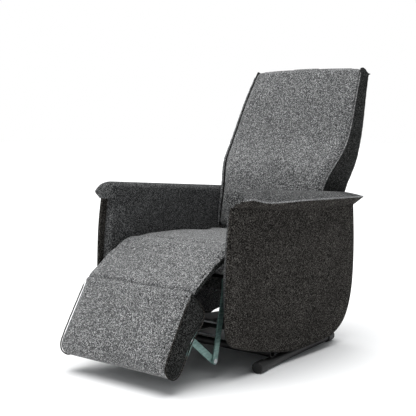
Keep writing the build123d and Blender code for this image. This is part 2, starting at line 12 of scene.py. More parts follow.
import bmesh
import bpy
import numpy as np
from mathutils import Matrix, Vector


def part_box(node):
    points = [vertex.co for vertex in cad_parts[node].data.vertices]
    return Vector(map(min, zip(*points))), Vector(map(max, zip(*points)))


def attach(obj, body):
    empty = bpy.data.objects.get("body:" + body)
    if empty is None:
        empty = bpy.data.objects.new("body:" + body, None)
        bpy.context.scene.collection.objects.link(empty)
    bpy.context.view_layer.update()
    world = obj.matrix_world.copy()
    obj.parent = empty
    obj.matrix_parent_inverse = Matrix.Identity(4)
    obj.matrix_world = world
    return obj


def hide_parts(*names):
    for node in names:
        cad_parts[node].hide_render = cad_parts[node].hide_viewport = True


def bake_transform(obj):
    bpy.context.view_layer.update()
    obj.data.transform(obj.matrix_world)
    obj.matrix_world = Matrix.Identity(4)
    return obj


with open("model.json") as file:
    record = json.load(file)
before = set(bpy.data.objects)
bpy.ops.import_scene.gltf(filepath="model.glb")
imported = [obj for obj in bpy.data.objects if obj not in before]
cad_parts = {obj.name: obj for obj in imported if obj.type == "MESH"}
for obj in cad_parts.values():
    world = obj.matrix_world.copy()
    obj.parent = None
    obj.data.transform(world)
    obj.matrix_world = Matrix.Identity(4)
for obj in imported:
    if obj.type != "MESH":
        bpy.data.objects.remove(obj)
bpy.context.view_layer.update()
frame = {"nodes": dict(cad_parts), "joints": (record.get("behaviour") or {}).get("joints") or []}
nodes = frame["nodes"]

# %% [markdown]
# The camera stands at the chair's front left, as a person looks at it in a showroom: a long
# lens from about four metres, a little above seat height, tipped slightly down.

# %% Camera
scene = bpy.context.scene
camera_data = bpy.data.cameras.new("camera")
camera = bpy.data.objects.new("camera", camera_data)
scene.collection.objects.link(camera)
scene.camera = camera
camera_data.sensor_width = 36.0
camera_data.lens = 75.29
camera_data.clip_end = 100.0
camera.location = (2.0353, -2.5798, 0.8621)
camera.rotation_euler = (math.radians(90 - 5.548), 0.0, math.radians(39.376))
print("camera lens", camera_data.lens)

# %% [markdown]
# Soft studio light: one very broad key from almost straight above, leaning a little from the
# sitter's right, a weak square light in front, and a pale room around. The room is drawn white
# but lights the chair dimly, so the arm's outer side stays in shade.

# %% Lights, room and floor
def area_light(name, place, aim, size, power, colour=(1.0, 1.0, 1.0)):
    """A square area light at place that faces the point aim."""
    data = bpy.data.lights.new(name, "AREA")
    data.size = size
    data.energy = power
    data.color = colour
    light = bpy.data.objects.new(name, data)
    scene.collection.objects.link(light)
    light.location = place
    towards = np.array(aim) - np.array(place)
    flat = math.hypot(towards[0], towards[1])
    turn = math.atan2(towards[1], towards[0]) - math.pi / 2
    light.rotation_euler = (math.atan2(towards[2], flat) + math.pi / 2, 0.0, turn)
    return light


key_data = bpy.data.lights.new("key_light", "SUN")
key_data.angle = math.radians(70)
key_data.energy = 3.95
key = bpy.data.objects.new("key_light", key_data)
scene.collection.objects.link(key)
key.rotation_euler = (math.radians(2), math.radians(-7), 0.0)
area_light("front_light", (-1.5, -3.6, 1.8), (0.0, -0.2, 0.6), 1.6, 14.0)

world = bpy.data.worlds.new("pale_room")
scene.world = world
world.use_nodes = True
room = world.node_tree
room.nodes.clear()
seen_room = room.nodes.new("ShaderNodeBackground")
seen_room.inputs["Color"].default_value = (1.0, 1.0, 1.0, 1.0)
lit_room = room.nodes.new("ShaderNodeBackground")
lit_room.inputs["Color"].default_value = (0.93, 0.97, 1.0, 1.0)
lit_room.inputs["Strength"].default_value = 0.32
ray = room.nodes.new("ShaderNodeLightPath")
pick = room.nodes.new("ShaderNodeMixShader")
room_out = room.nodes.new("ShaderNodeOutputWorld")
room.links.new(ray.outputs["Is Camera Ray"], pick.inputs[0])
room.links.new(lit_room.outputs[0], pick.inputs[1])
room.links.new(seen_room.outputs[0], pick.inputs[2])
room.links.new(pick.outputs[0], room_out.inputs["Surface"])
scene.view_settings.view_transform = "Standard"


# %% [markdown]
# One helper adds a node with its settings and links. Colours are written as sRGB hex, as
# paint and cloth charts give them, and one function turns them to the linear values that
# shaders use.

# %% Helpers for materials
def linear(colour):
    """Linear RGBA of an sRGB hex string: c/12.92 below 0.04045, else ((c+0.055)/1.055)^2.4."""
    parts = np.array([int(colour[i:i + 2], 16) for i in (1, 3, 5)]) / 255
    values = np.where(parts <= 0.04045, parts / 12.92, ((parts + 0.055) / 1.055) ** 2.4)
    return (*values.tolist(), 1.0)


def node(tree, kind, settings=None, links=None):
    """Adds a node. settings sets attributes or sockets by name, links joins sockets to outputs."""
    made = tree.nodes.new(kind)
    for key, value in (settings or {}).items():
        if isinstance(key, str) and hasattr(made, key) and key not in made.inputs:
            setattr(made, key, value)
        else:
            made.inputs[key].default_value = value
    for key, output in (links or {}).items():
        tree.links.new(output, made.inputs[key])
    return made


def ramp(tree, fac, stops):
    """A colour ramp through (place, hex colour) stops."""
    made = node(tree, "ShaderNodeValToRGB", links={"Fac": fac})
    band = made.color_ramp
    band.elements[0].position, band.elements[0].color = stops[0][0], linear(stops[0][1])
    band.elements[1].position, band.elements[1].color = stops[-1][0], linear(stops[-1][1])
    for place, colour in stops[1:-1]:
        band.elements.new(place).color = linear(colour)
    return made


def new_material(name, **constants):
    """A material with a Principled shader whose constant sockets are set directly."""
    material = bpy.data.materials.new(name)
    material.use_nodes = True
    tree = material.node_tree
    tree.nodes.clear()
    shader = node(tree, "ShaderNodeBsdfPrincipled", constants)
    node(tree, "ShaderNodeOutputMaterial", links={"Surface": shader.outputs[0]})
    coords = node(tree, "ShaderNodeTexCoord").outputs["Object"]
    return material, tree, shader, coords


MM = 0.001  # metres in a millimetre
print("helpers ready")

# %% [markdown]
# The cover is a bouclé tweed: thick looped yarns of black, mid grey and off-white wool twisted
# together, so that the cloth is a scatter of light and dark nubs about 2.4 mm across. Each
# nub is one cell of a Voronoi pattern with its own shade, and its roundness is a bump. A finer
# set of cells breaks the nubs up, and a broad noise gives the uneven dye of real wool. The
# arms, outer panels, rear and side bands are given darker, flatter copies of the same cloth,
# which paint the shade those faces are in.

# %% Material: boucle tweed
NUB = 2.4 * MM  # width of one yarn nub
FIBRE = 1.1 * MM  # width of one ply within a nub
WANDER = 2.2 * MM  # how far the yarn strays from a regular grid
NUB_SHARE, FIBRE_SHARE = 0.66, 0.34  # how much each sets the shade


def tweed(name, dark, mid, pale, fleck, tone_and_painted_shade=1.0, sheen=0.18):
    """Looped wool cloth in four shades, from the yarn's black ply to its off-white ply.

    The fifth argument scales the whole colour; its low values in the arm, side and boxing copies paint
    their shade. sheen is the fuzz that catches light at a slant."""
    gloss = {
        "Roughness": 0.93, "Specular IOR Level": 0.05 + sheen, "Sheen Weight": sheen,
        "Sheen Roughness": 0.6,
    }
    material, tree, shader, coords = new_material(name, **gloss)
    wobble = node(tree, "ShaderNodeTexNoise", {"Scale": 1 / (5 * MM), "Detail": 2.0}, {"Vector": coords})
    shifted = node(
        tree, "ShaderNodeVectorMath", {"operation": "MULTIPLY_ADD", 1: (WANDER, WANDER, WANDER)},
        {0: wobble.outputs["Color"], 2: coords},
    ).outputs[0]
    nubs = node(tree, "ShaderNodeTexVoronoi", {"Scale": 1 / NUB}, {"Vector": shifted})
    shade = node(tree, "ShaderNodeSeparateColor", links={"Color": nubs.outputs["Color"]})
    plies = node(tree, "ShaderNodeTexVoronoi", {"Scale": 1 / FIBRE}, {"Vector": shifted})
    ply_shade = node(tree, "ShaderNodeSeparateColor", links={"Color": plies.outputs["Color"]})
    mixed = node(
        tree, "ShaderNodeMath", {"operation": "MULTIPLY_ADD", 1: FIBRE_SHARE}, {0: ply_shade.outputs[0]}
    )
    body = node(
        tree, "ShaderNodeMath", {"operation": "MULTIPLY", 1: NUB_SHARE}, {0: shade.outputs[0]}
    )
    tree.links.new(body.outputs[0], mixed.inputs[2])
    colour = ramp(tree, mixed.outputs[0], [(0.16, dark), (0.42, mid), (0.66, pale), (0.88, fleck)])
    cloud = node(tree, "ShaderNodeTexNoise", {"Scale": 1 / (70 * MM), "Detail": 3.0}, {"Vector": coords})
    depth = node(
        tree, "ShaderNodeMapRange",
        {"From Min": 0.3, "From Max": 0.7, "To Min": 0.86 * tone_and_painted_shade, "To Max": 1.1 * tone_and_painted_shade},
        {"Value": cloud.outputs["Fac"]},
    )
    dyed = node(
        tree, "ShaderNodeVectorMath", {"operation": "SCALE"},
        {0: colour.outputs["Color"], "Scale": depth.outputs[0]},
    )
    tree.links.new(dyed.outputs[0], shader.inputs["Base Color"])
    loops = node(
        tree, "ShaderNodeBump", {"Strength": 0.75, "Distance": 1.1 * MM, "invert": True},
        {"Height": nubs.outputs["Distance"]},
    )
    fuzz = node(
        tree, "ShaderNodeBump", {"Strength": 0.35, "Distance": 0.5 * MM, "invert": True},
        {"Height": plies.outputs["Distance"], "Normal": loops.outputs[0]},
    )
    tree.links.new(fuzz.outputs[0], shader.inputs["Normal"])
    return material


tweed_front = tweed("boucle_tweed", "#0b0b0c", "#3a3b3c", "#757677", "#d4d4d3", 0.84)
# The next three are darker, flatter copies of the front cloth that paint the shade on the arms, sides and
# boxings.
arm_tweed_painted_shade = tweed("boucle_tweed_arms_painted_shade", "#0b0b0c", "#343536", "#6b6c6d", "#c4c4c3", 0.5, 0.06)
side_tweed_painted_shade = tweed("boucle_tweed_side_painted_shade", "#0a0a09", "#2f2c2a", "#5a5652", "#b5b1aa", 0.34, 0.0)
boxing_tweed_painted_deep_shade = tweed("boucle_tweed_boxing_painted_deep_shade", "#090a09", "#2b2c2b", "#525352", "#9d9e9c", 0.30, 0.0)
print("made", tweed_front.name, arm_tweed_painted_shade.name, side_tweed_painted_shade.name, boxing_tweed_painted_deep_shade.name)

# %% [markdown]
# The seam lips and piping are the same tweed turned double, drawn in a lighter copy of the cloth
# that paints the highlight a lip catches. The lining under the seat is plain black cambric, a thin
# non-woven cloth with a faint embossed grid.

# %% Material: piping and lining
# A lighter copy of the cloth, which paints the highlight the lips catch.
piping_cloth_painted_highlight = tweed("boucle_piping_painted_highlight", "#161617", "#48494a", "#7d7e7f", "#c4c4c3")

lining, lining_tree, lining_shader, lining_coords = new_material(
    "black_cambric", **{"Roughness": 0.9, "Specular IOR Level": 0.2}
)
felt = node(
    lining_tree, "ShaderNodeTexNoise", {"Scale": 1 / (2 * MM), "Detail": 4.0}, {"Vector": lining_coords}
)
felt_colour = ramp(lining_tree, felt.outputs["Fac"], [(0.3, "#08080a"), (0.7, "#1b1b1e")])
lining_tree.links.new(felt_colour.outputs["Color"], lining_shader.inputs["Base Color"])
felt_bump = node(
    lining_tree, "ShaderNodeBump", {"Strength": 0.4, "Distance": 0.3 * MM}, {"Height": felt.outputs["Fac"]}
)
lining_tree.links.new(felt_bump.outputs[0], lining_shader.inputs["Normal"])
print("made", piping_cloth_painted_highlight.name, lining.name)

# %% [markdown]
# Metals. The base is steel with a black powder coat: fine orange peel, satin. The straps are
# zinc plated with a grey-green passivate: the film varies in colour and rolling marks run along
# it; their punched edges are bright, which is not drawn. The bolts are plain bright zinc, the
# spring rod is ground and chromed, and the springs are drawn wire.

# %% Materials: metals, plastic and wood
def metal(name, colour_low, colour_high, roughness, metallic, grain, stretch=(1.0, 1.0, 1.0), bump=0.15):
    """Metal whose colour and gloss vary in a noise of the given grain, stretched along its rolling."""
    material, tree, shader, coords = new_material(name, **{"Metallic": metallic})
    placed = node(tree, "ShaderNodeMapping", {"Scale": stretch}, {"Vector": coords})
    marks = node(
        tree, "ShaderNodeTexNoise", {"Scale": 1 / grain, "Detail": 5.0}, {"Vector": placed.outputs[0]}
    )
    colour = ramp(tree, marks.outputs["Fac"], [(0.3, colour_low), (0.72, colour_high)])
    tree.links.new(colour.outputs["Color"], shader.inputs["Base Color"])
    gloss = node(
        tree, "ShaderNodeMapRange", {"To Min": roughness * 0.8, "To Max": roughness * 1.25},
        {"Value": marks.outputs["Fac"]},
    )
    tree.links.new(gloss.outputs[0], shader.inputs["Roughness"])
    relief = node(
        tree, "ShaderNodeBump", {"Strength": bump, "Distance": 0.2 * MM}, {"Height": marks.outputs["Fac"]}
    )
    tree.links.new(relief.outputs[0], shader.inputs["Normal"])
    return material


powder_coat = metal("black_powder_coat", "#060606", "#0e0d0c", 0.46, 0.0, 0.9 * MM, bump=0.4)
passivated = metal("green_passivated_zinc", "#4f6a66", "#86a39d", 0.36, 0.55, 9 * MM, (1.0, 0.4, 2.0))
bright_zinc = metal("bright_zinc", "#a9acae", "#d4d6d7", 0.3, 1.0, 4 * MM)
chrome_rod = metal("ground_chrome", "#c9cbcd", "#e8e9ea", 0.1, 1.0, 3 * MM, bump=0.03)
spring_wire = metal("drawn_spring_wire", "#5d5e60", "#8b8c8e", 0.4, 1.0, 2 * MM, (4.0, 1.0, 4.0))
moulded_foot = metal("moulded_black_plastic", "#0b0b0b", "#151414", 0.5, 0.0, 1.2 * MM, bump=0.5)
nylon = metal("white_nylon", "#d9d6cd", "#ece9e0", 0.45, 0.0, 3 * MM)
beech = metal("bare_beech", "#b88f5e", "#d8b485", 0.6, 0.0, 6 * MM, (8.0, 8.0, 1.0))
plywood = metal("birch_plywood", "#c3a06d", "#dcc296", 0.65, 0.0, 8 * MM, (1.0, 6.0, 1.0))
print("made", len(bpy.data.materials), "materials")

# %% Finishes of the CAD nodes that stay
finishes = {
    "base_runner": powder_coat, "base_cross": powder_coat, "base_side": powder_coat,
    "runner_feet": moulded_foot, "tilt_bolts": bright_zinc, "tilt_bushes": nylon,
    "seat_side_plate": passivated, "seat_front_rail": powder_coat, "seat_rear_rail": powder_coat,
    "seat_springs": spring_wire, "seat_spring_clips": bright_zinc, "gas_spring_beam": powder_coat,
    "gas_spring_cylinder": powder_coat, "gas_spring_rod": chrome_rod, "dust_cover": lining,
    # the front apron takes the darkest cloth copy, as painted shade under the seat
    "front_apron": boxing_tweed_painted_deep_shade, "apron_clips": bright_zinc, "arm_frame": plywood, "arm_bolts": bright_zinc,
    "back_upright": beech, "back_top_rail": beech, "back_bottom_rail": beech,
    "back_springs": spring_wire, "back_hinge": passivated, "back_spring_lug": passivated,
    "drive_tube": powder_coat, "rear_strap": passivated, "front_strap": passivated,
    "strap_cross_bar": bright_zinc, "strap_tie_rod": bright_zinc, "elbow_pins": bright_zinc,
    "slide_pins": bright_zinc, "footrest_board": lining, "footrest_bracket": passivated,
}


def finish_node(name, material):
    """Gives a CAD node one material."""
    mesh = nodes[name].data
    mesh.materials.clear()
    mesh.materials.append(material)


dressed = 0
for prefix, material in finishes.items():
    for name in nodes:
        if name.startswith(prefix):
            finish_node(name, material)
            dressed += 1
print("finished", dressed, "of", len(nodes), "CAD nodes")


# %% [markdown]
# Upholstery shapes are all made the same way. A closed outline is carried along the piece as a
# stack of rings, worked out as one numpy array. Near an end the rings draw in along a quarter
# circle, which is how a foam edge rounds under its cover.

# %% Helpers for surfaces
def spline(knots, values, at):
    """Natural cubic spline through (knots, values): smooth slope and bend, no bend at the ends."""
    knots, values, at = np.asarray(knots, float), np.asarray(values, float), np.asarray(at, float)
    count, step = len(knots), np.diff(knots)
    flat = values.reshape(count, -1)
    system = np.eye(count)
    inner = np.arange(1, count - 1)
    system[inner, inner - 1] = step[:-1]
    system[inner, inner] = 2 * (step[:-1] + step[1:])
    system[inner, inner + 1] = step[1:]
    slope = np.diff(flat, axis=0) / step[:, None]
    right = np.zeros_like(flat)
    right[1:-1] = 6 * np.diff(slope, axis=0)
    bend = np.linalg.solve(system, right)
    place = np.clip(np.searchsorted(knots, at) - 1, 0, count - 2)
    width = step[place][:, None]
    after = (at - knots[place])[:, None]
    before = width - after
    made = (bend[place] * before**3 + bend[place + 1] * after**3) / (6 * width)
    made += (flat[place] / width - bend[place] * width / 6) * before
    made += (flat[place + 1] / width - bend[place + 1] * width / 6) * after
    return made.reshape(at.shape + values.shape[1:])


def evenly(points, count):
    """Points resampled at equal distances along their straight-line path."""
    points = np.asarray(points, float)
    run = np.concatenate([[0], np.cumsum(np.linalg.norm(np.diff(points, axis=0), axis=1))])
    at = np.linspace(0, run[-1], count)
    return np.stack([np.interp(at, run, points[:, k]) for k in range(points.shape[1])], 1)


def curve(points, count):
    """A smooth curve through points, as count evenly spaced points."""
    points = np.asarray(points, float)
    run = np.concatenate([[0], np.cumsum(np.linalg.norm(np.diff(points, axis=0), axis=1))])
    return evenly(spline(run, points, np.linspace(0, run[-1], count * 6)), count)


def loop(*parts):
    """A closed outline from smooth parts that meet end to end; each part is (points, count)."""
    return np.concatenate([curve(points, count)[:-1] for points, count in parts])


def outward(outline):
    """Unit normals of a closed outline, pointing away from its inside (its signed area says which way)."""
    along = np.roll(outline, -1, 0) - np.roll(outline, 1, 0)
    normal = np.stack([along[:, 1], -along[:, 0]], 1)
    x, y = outline[:, 0], outline[:, 1]
    area = np.sum(x * np.roll(y, -1) - np.roll(x, -1) * y)
    normal *= np.sign(area)
    return normal / np.maximum(np.linalg.norm(normal, axis=1, keepdims=True), 1e-9)


def edge_rounding(half, radius, count, flat_count):
    """Stations across a piece and how far each ring draws in: a quarter circle at each end."""
    angle = np.linspace(0, np.pi / 2, count)
    ends = -half + radius * (1 - np.cos(angle)), radius * (1 - np.sin(angle))
    flat = np.linspace(-half + radius, half - radius, flat_count)[1:-1]
    place = np.concatenate([ends[0], flat, -ends[0][::-1]])
    inset = np.concatenate([ends[1], np.zeros(len(flat)), ends[1][::-1]])
    return place, inset


def grid_faces(rings, around):
    """Quads between neighbouring rings of a closed stack, and one face over each end."""
    ring, place = np.meshgrid(np.arange(rings - 1), np.arange(around), indexing="ij")
    after = (place + 1) % around
    this, following = ring * around, (ring + 1) * around
    quads = np.stack([this + place, this + after, following + after, following + place], -1)
    ends = [list(range(around))[::-1], list(range((rings - 1) * around, rings * around))]
    return quads.reshape(-1, 4).tolist() + ends


def make_piece(name, rings, material, smooth=40):
    """A closed mesh object from an array of rings (ring, place, xyz), faces outward."""
    count, around = rings.shape[:2]
    mesh = bpy.data.meshes.new(name)
    mesh.from_pydata(rings.reshape(-1, 3).tolist(), [], grid_faces(count, around))
    work = bmesh.new()
    work.from_mesh(mesh)
    bmesh.ops.recalc_face_normals(work, faces=work.faces)
    work.to_mesh(mesh)
    work.free()
    mesh.polygons.foreach_set("use_smooth", np.ones(len(mesh.polygons), bool))
    mesh.set_sharp_from_angle(angle=math.radians(smooth))
    mesh.materials.append(material)
    made = bpy.data.objects.new(name, mesh)
    scene.collection.objects.link(made)
    return made


def across(name, outline, half, radius, material, flat_count=40, shape=None):
    """A (y, z) outline carried across X from -half to half, with rounded ends.

    The ring at x is outline - inset(x) * normal; shape(x, ring) may then crown it."""
    place, inset = edge_rounding(half, radius, 7, flat_count)
    ring = outline[None] - inset[:, None, None] * outward(outline)[None]
    x = np.broadcast_to(place[:, None], ring.shape[:2])
    rings = np.stack([x, ring[..., 0], ring[..., 1]], -1)
    if shape is not None:
        rings = shape(rings)
    return make_piece(name, rings, material)


def coordinates(mesh):
    """All vertex places of a mesh as one array."""
    flat = np.empty(len(mesh.vertices) * 3, np.float32)
    mesh.vertices.foreach_get("co", flat)
    return flat.reshape(-1, 3).astype(float)


def facings(items, kind):
    """The normals of a mesh's vertices or faces as one array."""
    flat = np.empty(len(items) * 3, np.float32)
    items.foreach_get(kind, flat)
    return flat.reshape(-1, 3).astype(float)


def squared_circle(angle, flat_u, flat_v):
    """A circle pushed out towards a square: u = cos^(2/flat_u), v = sin^(2/flat_v), signs kept."""
    u = np.sign(np.cos(angle)) * np.abs(np.cos(angle)) ** (2 / flat_u)
    v = np.sign(np.sin(angle)) * np.abs(np.sin(angle)) ** (2 / flat_v)
    return u, v


print("surface helpers ready")


# %% [markdown]
# Foam under a tight cover swells between its seams and dimples where the cloth is pulled. A
# short Cloth simulation with a little pressure does this. The piece is remeshed evenly first,
# so the cloth has no grain of its own, and no point may move further than a few millimetres.

# %% Cloth simulation of a padded piece
CLOTH_FRAMES = 14
INWARD_TAKEN_OUT = 0.85


def swell(piece, voxel=6 * MM, pressure=4.0, cap=8 * MM):
    """Replaces the piece's mesh by its inflated form: rest + move * min(1, cap / |move|).

    Most of any inward move is taken out, because the foam holds the cover at its seams."""
    material = piece.data.materials[0]
    remesh = piece.modifiers.new("even", "REMESH")
    remesh.mode = "VOXEL"
    remesh.voxel_size = voxel
    depsgraph = bpy.context.evaluated_depsgraph_get()
    even = bpy.data.meshes.new_from_object(piece.evaluated_get(depsgraph))
    piece.modifiers.clear()
    piece.data = even
    rest = coordinates(even)
    cloth = piece.modifiers.new("cover", "CLOTH")
    cloth.settings.use_pressure = True
    cloth.settings.uniform_pressure_force = pressure
    cloth.settings.effector_weights.gravity = 0.0
    cloth.settings.quality = 5
    cloth.point_cache.frame_start = 1
    cloth.point_cache.frame_end = CLOTH_FRAMES
    for step in range(1, CLOTH_FRAMES + 1):
        scene.frame_set(step)
    depsgraph = bpy.context.evaluated_depsgraph_get()
    blown = bpy.data.meshes.new_from_object(piece.evaluated_get(depsgraph))
    move = coordinates(blown) - rest
    facing = facings(even.vertex_normals, "vector")
    inward = np.minimum(np.sum(move * facing, 1, keepdims=True), 0)
    move = move - INWARD_TAKEN_OUT * inward * facing
    size = np.linalg.norm(move, axis=1, keepdims=True)
    placed = rest + move * np.minimum(1, cap / np.maximum(size, 1e-9))
    piece.modifiers.clear()
    even.vertices.foreach_set("co", placed.astype(np.float32).ravel())
    scene.frame_set(1)
    even.polygons.foreach_set("use_smooth", np.ones(len(even.polygons), bool))
    finer = piece.modifiers.new("finer", "SUBSURF")
    finer.levels = 1
    finer.render_levels = 1
    even.materials.clear()
    even.materials.append(material)
    even.update()
    print("swelled", piece.name, len(even.vertices), "points")
    return piece


# %% [markdown]
# A sewn line across a pad draws its cloth down to the backing, and the narrow side band of a pad
# is drawn in a darker copy of the cloth, as painted shade.

# %% Sewn lines and painted shade on side bands
def crease(piece, y, z, depth, width):
    """Presses a line at (y, z) into the pad: drop = depth * exp(-(distance / width)^2)."""
    mesh = piece.data
    points = coordinates(mesh)
    facing = facings(mesh.vertex_normals, "vector")
    away = np.hypot(points[:, 1] - y, points[:, 2] - z)
    drop = depth * np.exp(-((away / width) ** 2))
    points = points - facing * drop[:, None]
    mesh.vertices.foreach_set("co", points.astype(np.float32).ravel())
    mesh.update()


def paint_side_shade(piece, material, limit=0.6):
    """Gives the faces whose normal leans sideways by more than the limit a darker cloth copy, as painted
    shade.
    """
    mesh = piece.data
    mesh.materials.append(material)
    band = (np.abs(facings(mesh.polygons, "normal")[:, 0]) > limit).astype(np.int32)
    mesh.polygons.foreach_set("material_index", band)
    mesh.update()


# %% [markdown]
# The seat is a firm foam block under one cloth. Its top is crowned across and slopes gently to
# the rear; in front it steps down where the cloth of the footrest bridge passes over the roll.

# %% Seat cushion
SEAT_HALF = 0.2505


def crowned(rings, height, middle=0.40, half=SEAT_HALF):
    """Lifts what is above the middle height by height * (1 - (x/half)^4)."""
    share = 1 - (rings[..., 0] / half) ** 4
    above = np.clip((rings[..., 2] - middle) / 0.03, 0, 1)
    lifted = rings.copy()
    lifted[..., 2] += height * np.clip(share, 0, 1) * above
    return lifted


seat_outline = loop(
    ([(0.240, 0.412), (0.232, 0.421), (0.200, 0.425), (0.030, 0.435), (-0.100, 0.441), (-0.170, 0.4415),
      (-0.215, 0.4405), (-0.237, 0.4375)], 60),
    ([(-0.237, 0.4375), (-0.243, 0.433), (-0.248, 0.424), (-0.262, 0.423), (-0.282, 0.424),
      (-0.300, 0.421), (-0.313, 0.413), (-0.3165, 0.403), (-0.313, 0.393), (-0.302, 0.388),
      (-0.297, 0.372), (-0.293, 0.349)], 40),
    ([(-0.293, 0.349), (0.0, 0.349), (0.232, 0.349)], 40),
    ([(0.232, 0.349), (0.240, 0.36), (0.2405, 0.39), (0.240, 0.412)], 10),
)
seat = across(
    "seat_cushion_cover", seat_outline, SEAT_HALF, 0.016, tweed_front, shape=lambda r: crowned(r, 0.006)
)
swell(seat, cap=5 * MM)
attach(seat, "seat_unit")
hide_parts("seat_cushion")

# %% [markdown]
# The bridge is the stretch of the same cloth, lightly padded, from the seat's front roll to the
# footrest. It bends over the roll as the footrest moves; here it is built at rest, on neither body.

# %% Footrest bridge
bridge_outline = loop(
    ([(-0.2415, 0.4270), (-0.2400, 0.4345), (-0.2460, 0.4380), (-0.262, 0.4372), (-0.282, 0.4345),
      (-0.300, 0.4285), (-0.330, 0.414), (-0.371, 0.392), (-0.422, 0.357), (-0.465, 0.328),
      (-0.476, 0.319)], 60),
    ([(-0.476, 0.319), (-0.472, 0.3125), (-0.462, 0.3115), (-0.450, 0.3175), (-0.412, 0.3440),
      (-0.372, 0.3725), (-0.340, 0.3905), (-0.3215, 0.3985)], 40),
    ([(-0.3215, 0.3985), (-0.3195, 0.4050), (-0.3140, 0.4170), (-0.300, 0.4240),
      (-0.270, 0.4255), (-0.250, 0.4245), (-0.2415, 0.4270)], 40),
)
bridge = across(
    "footrest_bridge_cover", bridge_outline, 0.2502, 0.006, tweed_front, shape=lambda r: crowned(r, 0.006)
)
swell(bridge, voxel=4 * MM, cap=3.5 * MM)
crease(bridge, -0.345, 0.4105, 3.5 * MM, 8 * MM)
crease(bridge, -0.477, 0.323, 4 * MM, 8 * MM)
paint_side_shade(bridge, boxing_tweed_painted_deep_shade)
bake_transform(bridge)
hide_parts("bridge_pad")

# %% [markdown]
# The footrest is a thick wedge of foam on a board. Its face runs straight from the knee to a
# rounded toe, and its rear is full near the knee. A welt seam runs round each side.

# %% Footrest pad
knee_joint = next(joint for joint in frame["joints"] if joint["name"] == "footrest_fold")
knee = np.array(knee_joint["pos_m"][1:])
toe = np.array([-0.614, 0.096])
face_run = (toe - knee) / np.linalg.norm(toe - knee)
face_back = np.array([-face_run[1], face_run[0]])


def on_leg(points):
    """(y, z) of points given in mm as (distance down the face from the knee, depth behind it)."""
    points = np.asarray(points, float) * MM
    return knee + points[:, :1] * face_run + points[:, 1:] * face_back


foot_front = on_leg([
    (-9, -1.5), (2, -2.8), (20, -3.6), (60, -4), (150, -4.5), (225, -3), (248, 0), (264, 8),
    (275, 24), (277.5, 42), (274, 60),
])
foot_rear = on_leg([
    (274, 60), (262, 73), (245, 79), (228, 81), (176, 81.5), (130, 84), (100, 92), (70, 97.5), (46, 97),
])
foot_top = on_leg([(46, 97), (30, 87), (20, 72), (9, 38), (4, 12), (1, 3), (-8, 1.5), (-9, -1.5)])
foot_outline = loop((foot_front, 70), (foot_rear, 60), (foot_top, 36))
foot = across("footrest_pad", foot_outline, 0.2492, 0.012, tweed_front)
swell(foot, cap=4 * MM)
crease(foot, -0.477, 0.323, 4 * MM, 8 * MM)
paint_side_shade(foot, boxing_tweed_painted_deep_shade, 0.5)
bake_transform(foot)
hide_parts("footrest_cushion")


# %% [markdown]
# A sewn edge on this chair is a flange: the two cloths are stitched together and stand up as a
# thin double lip. It is a flat tube carried along the seam, a little wavy as sewn cloth is.

# %% Seam lips
def lip(name, path, width, height, up, material, body, around=10):
    """An oval tube along path: centre + width*cos(a)*side + height*sin(a)*up, tapered at its ends.

    The centre wanders by a few tenths of a millimetre, as sewn cloth does."""
    length = np.linalg.norm(np.diff(np.asarray(path), axis=0), axis=1).sum()
    centre = curve(path, max(24, int(length / (6 * MM))))
    along = np.gradient(centre, axis=0)
    along /= np.linalg.norm(along, axis=1, keepdims=True)
    rise = np.broadcast_to(np.asarray(up, float), centre.shape)
    rise = rise - np.sum(rise * along, 1, keepdims=True) * along
    rise = rise / np.linalg.norm(rise, axis=1, keepdims=True)
    side = np.cross(along, rise)
    place = np.arange(len(centre))
    wave = 0.35 * MM * np.sin(place * 0.9) + 0.25 * MM * np.sin(place * 2.3 + 1)
    centre = centre + wave[:, None] * rise
    taper = np.clip(np.minimum(place, place[::-1]) / 3, 0.15, 1)[:, None, None]
    angle = np.linspace(0, 2 * np.pi, around, endpoint=False)
    angle = angle[None, :, None]
    ring = width * np.cos(angle) * side[:, None] + height * np.sin(angle) * rise[:, None]
    made = make_piece(name, centre[:, None] + taper * ring, material, smooth=80)
    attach(made, body)
    return made


# The welts are drawn in the darker side copy of the cloth, as painted shade.
for side, sign in (("left", 1), ("right", -1)):
    seam_x = sign * 0.2455
    foot_seam = np.concatenate([foot_front[2:], foot_rear[1:], foot_top[1:-4]])
    path = np.column_stack([np.full(len(foot_seam), seam_x), foot_seam])
    lip(f"footrest_welt_{side}", path, 2.4 * MM, 2.4 * MM, (sign, 0, 0), side_tweed_painted_shade, "footrest")
print("footrest welts made")

# %% [markdown]
# The back is a shield: narrow between the arms, widest above them, narrower again at the top,
# and hollow in side view to follow the spine. A front pad, two side boxings and a rear cover
# are sewn together, with a standing lip along both front edges and the rear corners.

# %% Back measurements
back_rows = np.array([
    # height, front y, rear y, half width, in metres
    (0.436, 0.264, 0.421, 0.2480), (0.520, 0.276, 0.446, 0.2490), (0.612, 0.296, 0.474, 0.2515),
    (0.665, 0.318, 0.492, 0.2650), (0.712, 0.348, 0.500, 0.2790), (0.762, 0.388, 0.508, 0.2870),
    (0.860, 0.445, 0.538, 0.2860), (0.960, 0.492, 0.572, 0.2770), (1.086, 0.560, 0.622, 0.2620),
])
back_z = np.linspace(back_rows[0, 0], back_rows[-1, 0], 70)
back_front_y, back_rear_y, back_half = spline(back_rows[:, 0], back_rows[:, 1:], back_z).T
BOXING = 0.009  # thickness of the side strip


def lean_top(rings):
    """The top falls away to the rear: drop = 24 mm * share of the depth, near the top only.

    It also arches by 7 mm in the middle: arch = 7 mm * (1 - (x / half width)^2)."""
    moved = rings.copy()
    front = np.interp(rings[..., 2], back_z, back_front_y)
    rear = np.interp(rings[..., 2], back_z, back_rear_y)
    share = np.clip((rings[..., 1] - front) / (rear - front), 0, 1)
    near_top = np.clip((rings[..., 2] - 0.96) / 0.125, 0, 1) ** 2
    arch = 0.007 * np.clip(1 - (rings[..., 0] / 0.262) ** 2, 0, 1)
    moved[..., 2] += near_top * (arch - 0.024 * share)
    return moved


